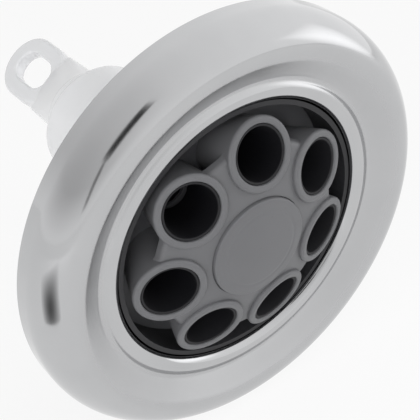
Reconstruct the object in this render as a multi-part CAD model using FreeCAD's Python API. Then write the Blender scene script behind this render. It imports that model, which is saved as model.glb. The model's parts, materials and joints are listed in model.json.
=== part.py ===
import FreeCAD, Part
import math
import os

# A spa jet's internal unit, in millimetres. The jet's axis is Y: water leaves towards -Y, the barrel
# reaches +Y, and the escutcheon's back edge, which seats on the tub wall, lies at Y = 0.
# Heights are measured forward of that seat, depths behind it.

# Escutcheon skin, the profile of its polished face
flange_radius = 63.5
shoulder_height = 4.2
shoulder_round = 12.1
shoulder_turn = 50.0
crown_round = 6.0
collar_radius = 43.0
collar_height = 11.4
collar_round = 3.0
groove_round = 1.6
groove_turn = 49.1
skin_wall = 0.7
hem_height = 3.0

# Escutcheon carrier
carrier_gap = 0.08
carrier_wall = 1.8
carrier_heel_depth = 2.0
carrier_heel_radius = 47.0
heel_overlap = 0.8
rib_count = 24
rib_wall = 1.5
rib_set_back = 0.8
mid_rib_radius = 53.0
boss_radius = 3.4
boss_circle = 43.8
boss_count = 6

# Face plate and its outlets, all drawn out from the centre of the face's dome
dome_radius = 90.0
outlet_circle = 27.1
outlet_height = 13.4
outlet_count = 7
first_outlet_turn = 33.93
mouth_rim_radius = 10.4
mouth_bore_radius = 7.3
bore_end_radius = 6.2
rim_proud = 0.8
rim_round = 0.7
mouth_flare = 0.5
liner_wall = 0.75
liner_gap = 0.05
liner_set_back = 0.5
liner_round = 0.4
plate_wall = 2.4
web_radius = 29.5
web_round = 2.0
spigot_depth = 3.2
spigot_gap = 0.12
hub_radius = 8.0
core_radius = 17.8
core_wall = 2.4

# Centre cap and the screw below it
cap_radius = 15.0
cap_gap = 0.2
cap_rise = 1.1
cap_wall = 1.8
cap_skirt_radius = 12.4
cap_skirt_wall = 1.3
cap_edge_round = 0.6
recess_height = 14.6
screw_head_radius = 4.0
screw_head_height = 2.2
screw_seat_height = 12.4
screw_radius = 2.0
screw_reach = 11.0
screw_head_gap = 0.8
screw_head_round = 0.77
drive_reach = 2.5
drive_wall = 1.0
drive_depth = 1.1

# Face cup
cup_gap = 0.3
cup_wall = 1.4
cup_rim_height = 9.2
cup_floor = 2.4
cup_flange_radius = 46.4

# Shaft and bearing
shaft_radius = 3.0
shaft_fit = 0.05
shaft_spigot_height = 5.0
shaft_flange_radius = 7.2
shaft_flange_wall = 1.4
bearing_width = 6.0
race_wall = 1.6
outer_race_radius = 9.4
ball_radius = 1.9
ball_count = 7
ball_gap = 0.12
cage_wall = 1.4
cage_side_gap = 0.3
race_fit = 0.03
washer_wall = 0.8
clip_wall = 0.8
clip_radius = 5.2
clip_groove = 0.6
shaft_tail = 2.2
shaft_relief = 0.3
shaft_chamfer = 0.6
race_step = 0.2
clip_lobe = 1.3
clip_relief_turn = 110.0
clip_relief_sweep = 40.0

# Rotor
rotor_floor_gap = 0.9
rotor_radius = 33.2
rotor_disc = 2.6
rotor_hub_wall = 2.2
rotor_window_inner = 15.4
rotor_window_outer = 27.6
rotor_window_sweep = 84.0
rotor_window_count = 2
rotor_eye_gap = 0.6
vane_count = 9
vane_height = 5.4
vane_wall = 1.7
vane_curve_radius = 17.0
vane_inner_radius = 12.6
vane_root = 1.6
vane_rim_gap = 0.6
vane_lean = 51.5
vane_turn = 2.0
vane_sweep = 64.0

# Bell behind the rotor
bell_radius = 35.2
bell_wall = 1.7
bell_flange_wall = 2.2
bell_straight_depth = 15.6
bell_neck_depth = 20.0
bell_neck_length = 3.4
bell_neck_wall = 2.0
screw_shank_radius = 1.45
screw_cap_radius = 2.9
screw_cap_height = 1.9
screw_bite = 7.0
screw_tip_gap = 1.0
screw_hole_gap = 0.15
screw_cap_round = 0.76
cap_drive_reach = 1.3
cap_drive_wall = 0.8
cap_drive_depth = 1.2

# Barrel, sleeve and their windows
barrel_radius = 19.0
barrel_waist_radius = 18.6
barrel_bore = 17.2
sleeve_gap = 0.3
sleeve_wall = 2.0
barrel_end_wall = 2.2
barrel_end_round = 1.8
seal_land_radius = 21.2
seal_land_length = 8.6
land_taper = 1.4
window_gap = 0.8
window_length = 9.6
guide_gap = 1.2
window_sweep = 58.0
window_count = 3
turn_range = 60.0
stop_sweep = 16.0
stop_clearance = 1.5
stop_height = 2.4
stop_room = 2.7
lug_count = 3
lug_sweep = 16.0
lug_height = 1.5
lug_length = 3.2
wear_ring_wall = 0.9
wear_ring_gap = 0.05
wear_ring_set_in = 0.6
ring_cord = 1.3
ring_squeeze = 0.25
ring_edge = 2.8
ring_spacing = 3.4
sleeve_cord = 0.65
sleeve_ring_gap = 8.0
ring_float = 0.05
ring_side_gap = 0.15
seal_reach_gap = 0.1
retainer_wall = 1.0
retainer_gap = 2.7
retainer_reach = 0.6
sleeve_lip = 1.7
retainer_groove = 0.8
retainer_mouth = 8.0

# Tail
tail_spigot_radius = 8.0
tail_spigot_reach = 2.0
neck_radius = 13.4
neck_length = 9.4
neck_round = 3.0
neck_edge_round = 1.6
root_radius = 12.0
root_wide = 11.2
root_thick = 6.6
root_reach = 10.0
loop_reach = 28.7
loop_radius = 11.0
loop_hole_radius = 5.2
loop_straight = 7.2
loop_wall = 4.6
loop_edge_round = 1.2
loop_turn = 131.0

# How far a fused piece reaches into its neighbour, and a cut past the face it opens
bite = 0.3
overrun = 1.0

origin = FreeCAD.Vector(0, 0, 0)
jet_axis = FreeCAD.Vector(0, 1, 0)
back_turn = FreeCAD.Vector(0, -1, 0)


# Values that follow from the sizes above
dome_centre_depth = math.sqrt(dome_radius ** 2 - outlet_circle ** 2) - outlet_height
dome_centre = FreeCAD.Vector(0, dome_centre_depth, 0)
lip_radius = collar_radius - collar_round
cup_radius = lip_radius - cup_gap
cup_back_depth = carrier_heel_depth + cup_floor
shaft_bearing_depth = cup_back_depth + shaft_flange_wall
inner_race_radius = shaft_radius + shaft_fit + race_wall
ball_circle = (inner_race_radius + outer_race_radius - race_wall) / 2
bearing_end_depth = shaft_bearing_depth + bearing_width
clip_depth = bearing_end_depth + washer_wall
rotor_front_depth = cup_back_depth + rotor_floor_gap
rotor_back_depth = rotor_front_depth + rotor_disc
bell_front_depth = cup_back_depth
bell_end_depth = bell_neck_depth + bell_neck_length
sleeve_radius = barrel_bore - sleeve_gap
sleeve_start_depth = bell_neck_depth - bell_wall + sleeve_gap
barrel_start_depth = bell_end_depth + wear_ring_wall + 2 * wear_ring_gap
front_ring_depth = barrel_start_depth + ring_edge
rear_ring_depth = front_ring_depth + ring_spacing
land_end_depth = barrel_start_depth + seal_land_length
window_start_depth = land_end_depth + land_taper + window_gap
window_end_depth = window_start_depth + window_length
guide_start_depth = window_end_depth + guide_gap
sleeve_ring_depth = window_end_depth + sleeve_ring_gap
retainer_depth = sleeve_ring_depth + retainer_gap
sleeve_end_depth = retainer_depth + sleeve_lip
stop_end_depth = sleeve_end_depth + stop_height
inner_end_depth = stop_end_depth + stop_room
barrel_end_depth = inner_end_depth + barrel_end_wall
neck_end_depth = barrel_end_depth + neck_length
loop_depth = neck_end_depth + loop_reach
window_turn = loop_turn - 180.0 / window_count
sleeve_ring_circle = barrel_bore - seal_reach_gap - sleeve_cord
barrel_ring_circle = seal_land_radius - ring_cord + 2 * ring_squeeze


def polar(centre, radius, degrees):
    turn = math.radians(degrees)
    return (centre[0] + radius * math.cos(turn), centre[1] + radius * math.sin(turn))


def spot(radius, height):
    # a half-section is drawn on the XY plane, where heights run towards -Y
    return FreeCAD.Vector(radius, -height, 0)


def arc(centre, radius, first, last):
    turns = (first, (first + last) / 2, last)
    return Part.Arc(*[spot(*polar(centre, radius, turn)) for turn in turns]).toShape()


def joined(edges):
    # the edges in order, with a straight edge wherever one ends away from the next one's start
    chain = []
    for edge, following in zip(edges, edges[1:] + edges[:1]):
        chain.append(edge)
        end = edge.lastVertex(True).Point
        start = following.firstVertex(True).Point
        if end.distanceToPoint(start) > 1e-6:
            chain.append(Part.LineSegment(end, start).toShape())
    return Part.Face(Part.Wire(chain))


def section(corners):
    # closed half-section through (radius, depth) corners
    points = [FreeCAD.Vector(radius, depth, 0) for radius, depth in corners]
    return Part.Face(Part.makePolygon(points + points[:1]))


def turned(corners):
    return section(corners).revolve(origin, jet_axis, 360)


def tube(outer, inner, start, end):
    return turned([(inner, start), (outer, start), (outer, end), (inner, end)])


def sector(outer, inner, start, end, middle_turn, sweep):
    # part of a tube, centred on middle_turn, which is counted from +X towards +Z
    piece = section([(inner, start), (outer, start), (outer, end), (inner, end)])
    solid = piece.revolve(origin, back_turn, sweep)
    return around(solid, middle_turn - sweep / 2)


def around(shape, degrees):
    copy = shape.copy()
    copy.rotate(origin, back_turn, degrees)
    return copy


def ring_of(shape, count, first_turn=0.0):
    return [around(shape, first_turn + 360.0 * step / count) for step in range(count)]


def rounded(solid, radius, picks):
    # rounds the circular edges that lie at the given (radius, depth) pairs
    chosen = []
    for edge in solid.Edges:
        curve = edge.Curve
        if not isinstance(curve, Part.Circle):
            continue
        for pick_radius, pick_depth in picks:
            if abs(curve.Radius - pick_radius) < 1e-3 and abs(curve.Center.y - pick_depth) < 1e-3:
                chosen.append(edge)
    return solid.makeFillet(radius, chosen)


def cord_ring(circle, cord, depth):
    return Part.makeTorus(circle, cord, FreeCAD.Vector(0, depth, 0), jet_axis)


def ring_groove(land_radius, circle, cord, depth):
    # the square groove that an O-ring lies in, open outwards
    half_width = cord + ring_side_gap
    return tube(land_radius + cord, circle - cord - ring_float, depth - half_width, depth + half_width)


def dish_profile(inset):
    # the escutcheon's face from its back edge to its inner wall, as a chain of tangent arcs, set in by inset
    shoulder = (flange_radius - shoulder_round, shoulder_height)
    crown = polar(shoulder, shoulder_round - crown_round, shoulder_turn)
    collar = (collar_radius, collar_height - collar_round)
    groove = polar(collar, collar_round + groove_round, groove_turn)
    # the dish is the straight slope that lies on the crown and under the groove
    across, rise = groove[0] - crown[0], groove[1] - crown[1]
    lean = math.degrees(math.acos((crown_round + groove_round) / math.hypot(across, rise)))
    slope_turn = math.degrees(math.atan2(rise, across)) - lean
    return [
        Part.LineSegment(spot(flange_radius - inset, 0), spot(flange_radius - inset, shoulder_height)).toShape(),
        arc(shoulder, shoulder_round - inset, 0.0, shoulder_turn),
        arc(crown, crown_round - inset, shoulder_turn, slope_turn),
        arc(groove, groove_round + inset, slope_turn - 180.0, groove_turn - 180.0),
        arc(collar, collar_round - inset, groove_turn, 180.0),
    ]


def reversed_edges(edges):
    return [edge.reversed() for edge in reversed(edges)]


def dish_shell(outer_inset, inner_inset, hem):
    outer = dish_profile(outer_inset)
    inner = dish_profile(inner_inset)
    outer_hem = spot(lip_radius + outer_inset, hem)
    inner_hem = spot(lip_radius + inner_inset, hem)
    hem_edge = Part.LineSegment(outer_hem, inner_hem).toShape()
    face = joined(outer + [hem_edge] + reversed_edges(inner))
    return face.revolve(origin, jet_axis, 360)


def dish_block(inset, back):
    # everything behind the dish, down to the height back
    ends = Part.LineSegment(spot(lip_radius + inset, back), spot(flange_radius - inset, back)).toShape()
    return joined(dish_profile(inset) + [ends])


def escutcheon_skin():
    return dish_shell(0.0, skin_wall, hem_height)


def escutcheon_carrier():
    outer_inset = skin_wall + carrier_gap
    inner_inset = outer_inset + carrier_wall
    shell = dish_shell(outer_inset, inner_inset, 0.0)
    rib_face = dish_block((outer_inset + inner_inset) / 2, rib_set_back)
    rib = rib_face.extrude(FreeCAD.Vector(0, 0, rib_wall))
    rib.translate(FreeCAD.Vector(0, 0, -rib_wall / 2))
    pieces = ring_of(rib, rib_count, 180.0 / rib_count)
    filled = dish_block((outer_inset + inner_inset) / 2, rib_set_back).revolve(origin, jet_axis, 360)
    mid_rib = tube(mid_rib_radius + rib_wall / 2, mid_rib_radius - rib_wall / 2, -collar_height * 2, 0)
    pieces.append(mid_rib.common(filled))
    inner_wall = lip_radius + outer_inset
    heel = tube(carrier_heel_radius, inner_wall, -rib_set_back - heel_overlap, carrier_heel_depth)
    pieces.append(heel)
    boss_bar = Part.makeCylinder(boss_radius, collar_height + carrier_heel_depth,
                                 FreeCAD.Vector(boss_circle, -collar_height, 0), jet_axis)
    solid_behind = dish_block((outer_inset + inner_inset) / 2, 0.0).revolve(origin, jet_axis, 360)
    boss = boss_bar.common(solid_behind)
    pieces += ring_of(boss, boss_count)
    body = shell.fuse(pieces)
    pilot = Part.makeCylinder(screw_shank_radius + shaft_fit, screw_bite,
                              FreeCAD.Vector(boss_circle, carrier_heel_depth - screw_bite, 0), jet_axis)
    return body.cut(ring_of(pilot, boss_count)).removeSplitter()


def dome_height(radius, shell_radius):
    return math.sqrt(shell_radius ** 2 - radius ** 2) - dome_centre_depth


def dome_arc(shell_radius, first, last):
    # arc of the dome's half-section, from one radius to another
    radii = (first, (first + last) / 2, last)
    return Part.Arc(*[spot(radius, dome_height(radius, shell_radius)) for radius in radii]).toShape()


def floor_distance():
    # how far from the dome's centre an outlet's axis crosses the cup's floor
    return dome_radius * (dome_centre_depth - carrier_heel_depth) / (dome_centre_depth + outlet_height)


def half_space(front, back):
    return Part.makeBox(4 * flange_radius, back - front, 4 * flange_radius,
                        FreeCAD.Vector(-2 * flange_radius, front, -2 * flange_radius))


def about_outlet(shape):
    # from the jet's axis to the first outlet's
    shape.translate(dome_centre)
    shape.rotate(dome_centre, FreeCAD.Vector(0, 0, 1), math.degrees(math.asin(outlet_circle / dome_radius)))
    return shape


def along_outlet(face):
    # a half-section whose heights are distances from the dome's centre, turned about the first outlet's axis
    return about_outlet(face.revolve(origin, jet_axis, 360))


def flared_section(near_radius, near, far_radius, far, edge_round, outwards):
    # a taper with a rounded end: outwards = 1 opens like a flare, -1 closes like a rim
    corner = (far_radius + outwards * edge_round, far - edge_round)
    first_turn = 180.0 if outwards > 0 else 0.0
    bend = arc(corner, edge_round, first_turn, 90.0)
    side = Part.LineSegment(spot(near_radius, near), spot(far_radius, far - edge_round)).toShape()
    axis = Part.LineSegment(spot(0, far), spot(0, near)).toShape()
    return joined([side, bend, axis])


def outlet_bore(grow, far, flare):
    # a tapered bore, larger all round by grow, narrow at the cup's floor and flared where it opens at far
    near = floor_distance() - 3 * cup_floor
    slope = (mouth_bore_radius - bore_end_radius) / (dome_radius - floor_distance())
    near_radius = bore_end_radius + slope * (near - floor_distance()) + grow
    far_radius = mouth_bore_radius + slope * (far - dome_radius) + grow
    taper = along_outlet(flared_section(near_radius, near, far_radius, far, flare, 1))
    mouth = Part.makeCylinder(far_radius + flare, far, FreeCAD.Vector(0, -far, 0), back_turn)
    return taper.fuse(about_outlet(mouth)).removeSplitter()


def outlet_blank(gap):
    # an outlet's outer form, drawn from the dome's centre, larger all round by gap
    near = floor_distance() - 3 * cup_floor
    far = dome_radius + rim_proud
    near_radius = mouth_rim_radius * near / dome_radius + gap
    blank = along_outlet(flared_section(near_radius, near, mouth_rim_radius + gap, far, rim_round, -1))
    return blank.common(half_space(-dome_radius, spigot_depth + gap / 2))


def web_section():
    # the web between the outlets, the cap's recess and the hub, as one half-section
    recess = cap_radius + cap_gap
    inner = dome_radius - plate_wall
    core_back = recess_height - core_wall
    recess_side = [
        spot(0, recess_height), spot(recess, recess_height), spot(recess, dome_height(recess, dome_radius)),
    ]
    hub_side = [
        spot(core_radius, core_back), spot(hub_radius, core_back - core_wall), spot(hub_radius, -carrier_heel_depth),
        spot(0, -carrier_heel_depth),
    ]
    edges = [Part.LineSegment(first, last).toShape() for first, last in zip(recess_side, recess_side[1:])]
    edges.append(dome_arc(dome_radius, recess, web_radius))
    edges.append(dome_arc(inner, web_radius, core_radius))
    edges += [Part.LineSegment(first, last).toShape() for first, last in zip(hub_side, hub_side[1:])]
    return joined(edges)


def web_seam(edge):
    # the revolved web's own seam lies on the XY plane
    return abs(edge.CenterOfMass.z) < 1e-3


def rounded_corners(plate):
    # the upright corners where the web's edge meets the outlets
    corners = []
    for edge in plate.Edges:
        if not edge.Vertexes or len(edge.Vertexes) != 2:
            continue
        ends = [math.hypot(vertex.Point.x, vertex.Point.z) for vertex in edge.Vertexes]
        rise = abs(edge.Vertexes[0].Point.y - edge.Vertexes[1].Point.y)
        at_web = max(abs(end - web_radius) for end in ends) < 0.01
        if at_web and rise > plate_wall / 2 and not web_seam(edge):
            corners.append(edge)
    return plate.makeFillet(web_round, corners)


def face_plate():
    web = web_section().revolve(origin, jet_axis, 360)
    tubes = [around(outlet_blank(0.0), turn) for turn in outlet_turns()]
    body = rounded_corners(web.fuse(tubes).removeSplitter())
    seat = outlet_bore(liner_wall + liner_gap, dome_radius + rim_proud, mouth_flare)
    bores = [around(seat, turn) for turn in outlet_turns()]
    ways = [
        tube(screw_head_radius + screw_head_gap, 0, -dome_radius, -screw_seat_height),
        tube(screw_radius + shaft_fit, 0, -dome_radius, 0),
        tube(shaft_radius + shaft_fit, 0, -shaft_spigot_height - cap_gap, dome_radius),
    ]
    return body.cut(bores + ways)


def outlet_turns():
    return [first_outlet_turn + 360.0 * step / outlet_count for step in range(outlet_count)]


def outlet_liners():
    # seven dark tapered tubes in the face plate's outlets, from just below their lips to the cup's ledges
    near = floor_distance() - 3 * cup_floor
    far = dome_radius + rim_proud - liner_set_back
    slope = (mouth_bore_radius - bore_end_radius) / (dome_radius - floor_distance())
    near_radius = bore_end_radius + slope * (near - floor_distance()) + liner_wall
    far_radius = mouth_bore_radius + slope * (far - dome_radius) + liner_wall
    blank = along_outlet(section([(0, -near), (near_radius, -near), (far_radius, -far), (0, -far)]))
    blank = blank.common(half_space(-2 * dome_radius, spigot_depth))
    liner = blank.cut(outlet_bore(0.0, far, liner_round))
    return Part.Compound([around(liner, turn) for turn in outlet_turns()])


def centre_cap():
    edge_height = math.sqrt(dome_radius ** 2 - cap_radius ** 2) - dome_centre_depth + cap_rise
    inner = cap_skirt_radius - cap_skirt_wall
    disc = turned([(0, -edge_height), (cap_radius, -edge_height), (cap_radius, -edge_height + cap_wall),
                   (0, -edge_height + cap_wall)])
    dome_lift = dome_radius - math.sqrt(dome_radius ** 2 - cap_radius ** 2)
    ball_centre = FreeCAD.Vector(0, dome_centre_depth - cap_rise, 0)
    crown = Part.makeSphere(dome_radius, ball_centre).common(
        Part.makeCylinder(cap_radius, 2 * dome_lift, FreeCAD.Vector(0, -edge_height + bite, 0), back_turn))
    skirt = tube(cap_skirt_radius, inner, -edge_height + cap_wall / 2, -recess_height)
    body = disc.fuse([crown, skirt]).removeSplitter()
    return rounded(body, cap_edge_round, [(cap_radius, -edge_height)])


def hub_screw():
    top_depth = -screw_seat_height - screw_head_height
    head = tube(screw_head_radius, 0, top_depth, -screw_seat_height)
    head = rounded(head, screw_head_round, [(screw_head_radius, top_depth)])
    shank = tube(screw_radius, 0, -screw_seat_height, -screw_seat_height + screw_reach)
    slot = Part.makeBox(2 * drive_reach, drive_depth, drive_wall,
                        FreeCAD.Vector(-drive_reach, top_depth, -drive_wall / 2))
    return head.fuse(shank).cut([slot, around(slot, 90)]).removeSplitter()


def face_cup():
    inner = cup_radius - cup_wall
    floor = carrier_heel_depth
    bowl = turned([
        (0, floor), (inner, floor), (inner, -cup_rim_height), (cup_radius, -cup_rim_height),
        (cup_radius, floor), (cup_flange_radius, floor), (cup_flange_radius, cup_back_depth),
        (0, cup_back_depth),
    ])
    cuts = [around(outlet_blank(spigot_gap), turn) for turn in outlet_turns()]
    cuts += [around(outlet_bore(0.0, dome_radius, mouth_flare), turn) for turn in outlet_turns()]
    cuts.append(tube(shaft_radius + shaft_fit, 0, floor - overrun, cup_back_depth + overrun))
    hole = Part.makeCylinder(screw_shank_radius + screw_hole_gap, 4 * cup_floor,
                             FreeCAD.Vector(boss_circle, floor - cup_floor, 0), jet_axis)
    cuts += ring_of(hole, boss_count)
    return bowl.cut(cuts).removeSplitter()


def rotor_shaft():
    end = clip_depth + clip_wall + shaft_tail
    flange_end = shaft_bearing_depth - shaft_relief
    groove_radius = shaft_radius - clip_groove
    groove_end = clip_depth + clip_wall + shaft_fit
    blank = turned([
        (0, -shaft_spigot_height), (shaft_radius, -shaft_spigot_height), (shaft_radius, cup_back_depth),
        (shaft_flange_radius, cup_back_depth), (shaft_flange_radius, flange_end),
        (inner_race_radius - race_step, flange_end), (inner_race_radius - race_step, shaft_bearing_depth),
        (shaft_radius, shaft_bearing_depth), (shaft_radius, clip_depth), (groove_radius, clip_depth),
        (groove_radius, groove_end), (shaft_radius, groove_end), (shaft_radius, end - shaft_chamfer),
        (shaft_radius - shaft_chamfer, end), (0, end),
    ])
    tapped = tube(screw_radius + shaft_fit, 0, -shaft_spigot_height - overrun,
                  screw_reach - screw_seat_height + screw_tip_gap)
    return blank.cut(tapped)


def race_groove():
    middle = shaft_bearing_depth + bearing_width / 2
    return cord_ring(ball_circle, ball_radius + ball_gap, middle)


def bearing_inner_race():
    blank = tube(inner_race_radius, shaft_radius + shaft_fit, shaft_bearing_depth, bearing_end_depth)
    return blank.cut(race_groove())


def bearing_outer_race():
    blank = tube(outer_race_radius, outer_race_radius - race_wall, shaft_bearing_depth, bearing_end_depth)
    return blank.cut(race_groove())


def bearing_balls():
    middle = shaft_bearing_depth + bearing_width / 2
    ball = Part.makeSphere(ball_radius, FreeCAD.Vector(ball_circle, middle, 0))
    return Part.Compound(ring_of(ball, ball_count))


def bearing_cage():
    middle = shaft_bearing_depth + bearing_width / 2
    half = bearing_width / 2 - cage_side_gap
    blank = tube(ball_circle + cage_wall / 2, ball_circle - cage_wall / 2, middle - half, middle + half)
    pocket = Part.makeCylinder(ball_radius + ball_gap, 2 * ball_circle, FreeCAD.Vector(0, middle, 0),
                               FreeCAD.Vector(1, 0, 0))
    return blank.cut(ring_of(pocket, ball_count))


def thrust_washer():
    return tube(inner_race_radius, shaft_radius + shaft_fit, bearing_end_depth, clip_depth)


def shaft_clip():
    ring = tube(clip_radius, shaft_radius - clip_groove + shaft_fit, clip_depth, clip_depth + clip_wall)
    mouth = Part.makeBox(2 * clip_radius, 2 * clip_wall, 2 * (shaft_radius - clip_groove),
                         FreeCAD.Vector(0, clip_depth - clip_wall / 2, -(shaft_radius - clip_groove)))
    relief = sector(clip_radius, clip_radius - clip_lobe, clip_depth - overrun, clip_depth + clip_wall + overrun,
                    clip_relief_turn, clip_relief_sweep)
    return ring.cut([mouth, relief, around(relief, 360.0 - 2 * clip_relief_turn)])


def vane():
    # an arc wall that sweeps back from the hub to the rim
    start = rotor_back_depth - bite
    middle = polar((vane_inner_radius, 0), vane_curve_radius, vane_lean)
    centre = FreeCAD.Vector(middle[0], start, middle[1])
    height = vane_height + bite
    wall = Part.makeCylinder(vane_curve_radius + vane_wall / 2, height, centre, jet_axis)
    wall = wall.cut(Part.makeCylinder(vane_curve_radius - vane_wall / 2, height, centre, jet_axis))
    zone = sector(rotor_radius - vane_rim_gap, vane_inner_radius - vane_root, start, start + height,
                  vane_turn, vane_sweep)
    return wall.common(zone)


def rotor():
    bore = outer_race_radius + race_fit
    hub_end = bearing_end_depth - shaft_relief
    disc = tube(rotor_radius, 0, rotor_front_depth, rotor_back_depth)
    hub = tube(bore + rotor_hub_wall, 0, rotor_front_depth, hub_end)
    vanes = ring_of(vane(), vane_count)
    body = disc.fuse([hub] + vanes)
    cuts = [
        tube(bore, 0, shaft_bearing_depth, hub_end + overrun),
        tube(shaft_flange_radius + rotor_eye_gap, 0, rotor_front_depth - overrun, shaft_bearing_depth + overrun),
    ]
    window = sector(rotor_window_outer, rotor_window_inner, rotor_front_depth - overrun, rotor_back_depth,
                    first_outlet_turn, rotor_window_sweep)
    cuts += ring_of(window, rotor_window_count)
    return body.cut(cuts).removeSplitter()


def rotor_housing():
    neck_inner = sleeve_radius + shaft_fit
    neck_outer = neck_inner + bell_neck_wall
    outer = bell_radius + bell_wall
    back = bell_front_depth + bell_flange_wall
    shell = turned([
        (bell_radius, bell_front_depth), (cup_flange_radius, bell_front_depth), (cup_flange_radius, back),
        (outer, back), (outer, bell_straight_depth), (neck_outer, bell_neck_depth),
        (neck_outer, bell_end_depth), (neck_inner, bell_end_depth),
        (neck_inner, bell_neck_depth - bell_wall), (bell_radius, bell_straight_depth - bell_wall),
    ])
    hole = Part.makeCylinder(screw_shank_radius + screw_hole_gap, 4 * bell_flange_wall,
                             FreeCAD.Vector(boss_circle, bell_front_depth - bell_flange_wall, 0), jet_axis)
    return shell.cut(ring_of(hole, boss_count))


def housing_screws():
    seat = bell_front_depth + bell_flange_wall
    top = seat + screw_cap_height
    shank_start = carrier_heel_depth - screw_bite + screw_tip_gap
    shank = Part.makeCylinder(screw_shank_radius, seat - shank_start,
                              FreeCAD.Vector(boss_circle, shank_start, 0), jet_axis)
    head = Part.makeCylinder(screw_cap_radius, screw_cap_height, FreeCAD.Vector(boss_circle, seat, 0), jet_axis)
    head = head.makeFillet(screw_cap_round, [edge for edge in head.Edges if abs(edge.CenterOfMass.y - top) < 1e-3])
    drive_start = top - cap_drive_depth
    drive = Part.makeBox(2 * cap_drive_reach, cap_drive_depth, cap_drive_wall,
                         FreeCAD.Vector(boss_circle - cap_drive_reach, drive_start, -cap_drive_wall / 2))
    cross = Part.makeBox(cap_drive_wall, cap_drive_depth, 2 * cap_drive_reach,
                         FreeCAD.Vector(boss_circle - cap_drive_wall / 2, drive_start, -cap_drive_reach))
    screw = head.fuse(shank).cut([drive, cross]).removeSplitter()
    return Part.Compound(ring_of(screw, boss_count))


def window_cuts():
    outer = seal_land_radius + overrun
    window = sector(outer, sleeve_radius - sleeve_wall - overrun, window_start_depth, window_end_depth,
                    window_turn, window_sweep)
    return ring_of(window, window_count)


def stop_sector(middle_turn, start, end):
    return sector(sleeve_radius, sleeve_radius - sleeve_wall, start, end, middle_turn, stop_sweep)


def valve_sleeve():
    body = tube(sleeve_radius, sleeve_radius - sleeve_wall, sleeve_start_depth, sleeve_end_depth)
    o_ring_groove = ring_groove(sleeve_radius, sleeve_ring_circle, sleeve_cord, sleeve_ring_depth)
    snap_groove = tube(sleeve_radius + overrun, sleeve_radius - retainer_groove, retainer_depth - shaft_fit,
                       retainer_depth + retainer_wall + shaft_fit)
    tab = stop_sector(window_turn, sleeve_end_depth - bite, stop_end_depth)
    body = body.cut(window_cuts() + [o_ring_groove, snap_groove])
    return body.fuse(tab).removeSplitter()


def sleeve_o_ring():
    return cord_ring(sleeve_ring_circle, sleeve_cord, sleeve_ring_depth)


def sleeve_retainer():
    inner = sleeve_radius - retainer_groove + shaft_fit
    ring = tube(sleeve_radius + retainer_reach, inner, retainer_depth, retainer_depth + retainer_wall)
    gap = sector(barrel_radius, inner - overrun, retainer_depth - overrun,
                 retainer_depth + retainer_wall + overrun, window_turn + 180.0, retainer_mouth)
    return ring.cut(gap)


def barrel():
    step_depth = retainer_depth - sleeve_gap
    wide_bore = sleeve_radius + retainer_reach + sleeve_gap
    spigot_bore = tail_spigot_radius + shaft_fit
    guide_lift = barrel_radius - barrel_waist_radius
    blank = turned([
        (barrel_bore, barrel_start_depth), (seal_land_radius, barrel_start_depth),
        (seal_land_radius, land_end_depth), (barrel_waist_radius, land_end_depth + land_taper),
        (barrel_waist_radius, guide_start_depth), (barrel_radius, guide_start_depth + guide_lift),
        (barrel_radius, barrel_end_depth), (spigot_bore, barrel_end_depth), (spigot_bore, inner_end_depth),
        (wide_bore, inner_end_depth), (wide_bore, step_depth), (barrel_bore, step_depth),
    ])
    blank = rounded(blank, barrel_end_round, [(barrel_radius, barrel_end_depth)])
    lug = sector(barrel_radius + lug_height, barrel_waist_radius - bite, window_start_depth,
                 window_start_depth + lug_length, window_turn + 180.0 / lug_count, lug_sweep)
    stops = []
    for side, reach in ((-1, 0.0), (1, turn_range)):
        middle = window_turn + reach + side * (stop_sweep + stop_clearance)
        stops.append(sector(wide_bore + bite, sleeve_radius - sleeve_wall, sleeve_end_depth + sleeve_gap,
                            inner_end_depth + bite, middle, stop_sweep))
    body = blank.fuse(ring_of(lug, lug_count) + stops)
    grooves = [ring_groove(seal_land_radius, barrel_ring_circle, ring_cord, depth)
               for depth in (front_ring_depth, rear_ring_depth)]
    return body.cut(window_cuts() + grooves).removeSplitter()


def barrel_ring(depth):
    return cord_ring(barrel_ring_circle, ring_cord, depth)


def wear_ring():
    start = bell_end_depth + wear_ring_gap
    return tube(seal_land_radius - wear_ring_set_in, barrel_bore, start, start + wear_ring_wall)


def stadium(radius, wall):
    # a round-ended plate across X, long in the jet's direction
    half = loop_straight / 2
    ends = [Part.makeCylinder(radius, wall, FreeCAD.Vector(-wall / 2, loop_depth + side * half, 0),
                              FreeCAD.Vector(1, 0, 0)) for side in (-1, 1)]
    middle = Part.makeBox(wall, loop_straight, 2 * radius,
                          FreeCAD.Vector(-wall / 2, loop_depth - half, -radius))
    return ends[0].fuse([ends[1], middle]).removeSplitter()


def loop_blend():
    # from round in the neck to flat where the loop's hole begins
    sections = (
        (neck_end_depth - neck_round, root_radius, root_radius),
        (neck_end_depth + root_reach, root_wide, root_thick),
        (loop_depth - loop_straight / 2 - loop_hole_radius, loop_radius, loop_wall / 2),
    )
    wires = []
    for depth, half_wide, half_thick in sections:
        oval = Part.Ellipse(FreeCAD.Vector(0, depth, half_wide), FreeCAD.Vector(half_thick, depth, 0),
                            FreeCAD.Vector(0, depth, 0))
        wires.append(Part.Wire(oval.toShape()))
    return Part.makeLoft(wires, True)


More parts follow.
